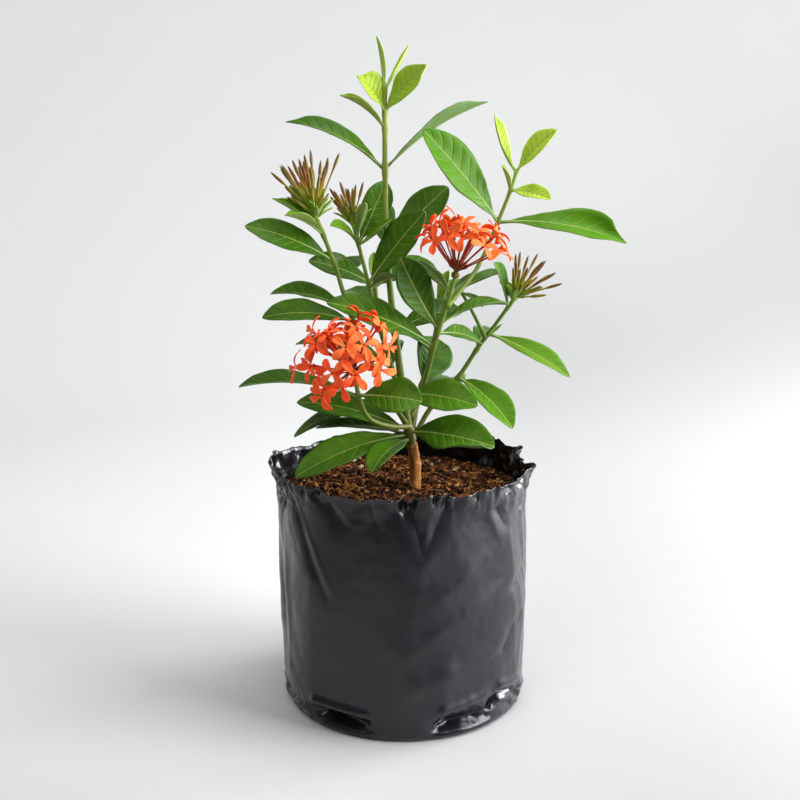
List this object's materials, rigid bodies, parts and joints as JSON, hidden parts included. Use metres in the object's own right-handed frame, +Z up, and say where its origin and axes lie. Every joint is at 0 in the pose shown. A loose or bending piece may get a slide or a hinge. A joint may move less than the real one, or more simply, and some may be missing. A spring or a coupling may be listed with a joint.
{
  "type": "potted ixora",
  "caption": "Young ixora shrub with leafy stems, round orange flower heads and bud clusters, standing in a soil-filled black film nursery bag.",
  "frame": {"origin": "centre of the bag's flat bottom, on the surface that the bag stands on", "axes": "+Z up out of the bag along the plant, -Y towards the viewer of its front, where the lower flower head stands out, and +X to that viewer's right"},
  "size_m": [0.2542, 0.1761, 0.4456],
  "materials": {
    "bag_film": "glossy, creased polythene film",
    "soil": "moist coir crumb, matte",
    "bark": "young bark, matte",
    "foliage": "waxy leaf, semi-gloss",
    "petals": "soft petal, matte",
    "buds": "unopened bud, satin"
  },
  "bodies": {
    "root": {"bag": "bag_film", "soil": "soil", "trunk": "bark", "stem_main": "foliage", "stem_left_bud": "foliage", "stem_mid_bud": "foliage", "stem_front_flower": "foliage", "stem_right_flower": "foliage", "stem_right_bud": "foliage", "stem_top_right": "foliage", "stem_twig": "foliage", "stem_back_left": "foliage", "stem_back_right": "foliage", "flowers_front": "petals", "flowers_right": "petals", "buds_left": "buds", "buds_mid": "buds", "buds_right": "buds"}
  },
  "joints": []
}
